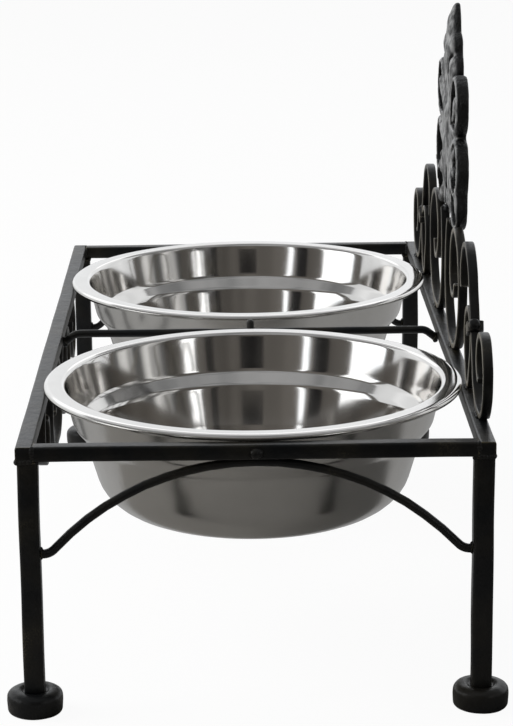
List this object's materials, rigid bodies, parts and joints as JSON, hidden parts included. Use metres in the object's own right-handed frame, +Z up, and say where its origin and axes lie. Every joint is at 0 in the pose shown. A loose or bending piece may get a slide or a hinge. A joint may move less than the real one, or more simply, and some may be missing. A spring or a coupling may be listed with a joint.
{
  "type": "dog bowl stand",
  "caption": "Raised wrought-iron feeder frame that holds round steel bowls by their rims, with arched ends, bent scrollwork and a cast palmette crest along the back.",
  "frame": {"origin": "on the floor, under the middle of the stand", "axes": "+X along the stand to the right of a dog that faces it, +Y to the back panel, +Z up"},
  "size_m": [0.4884, 0.2454, 0.3185],
  "materials": {
    "iron": "black paint, semi-gloss, rubbed on the edges",
    "cast_crest": "black paint brushed with grey over the raised parts",
    "steel": "polished inside, satin outside"
  },
  "bodies": {
    "stand": {"front_rail": "iron", "back_rail": "iron", "right_end_rail": "iron", "front_right_leg": "iron", "front_right_foot": "iron", "back_right_leg": "iron", "back_right_foot": "iron", "right_end_arch": "iron", "right_s_scroll": "iron", "right_loop_link": "iron", "right_collar": "iron", "right_lyre_scroll": "iron", "right_apron_scroll": "iron", "left_end_rail": "iron", "front_left_leg": "iron", "front_left_foot": "iron", "back_left_leg": "iron", "back_left_foot": "iron", "left_end_arch": "iron", "left_s_scroll": "iron", "left_loop_link": "iron", "left_collar": "iron", "left_lyre_scroll": "iron", "left_apron_scroll": "iron", "centre_crossbar": "iron", "centre_stud": "iron", "crest": "cast_crest"},
    "right_bowl": {"right_bowl": "steel"},
    "left_bowl": {"left_bowl": "steel"}
  },
  "joints": [
    {"name": "right_bowl_lift", "type": "slide", "parent": "stand", "child": "right_bowl", "axis": [0, 0, 1], "range_m": [0, 0.09]},
    {"name": "left_bowl_lift", "type": "slide", "parent": "stand", "child": "left_bowl", "axis": [0, 0, 1], "range_m": [0, 0.09]}
  ]
}
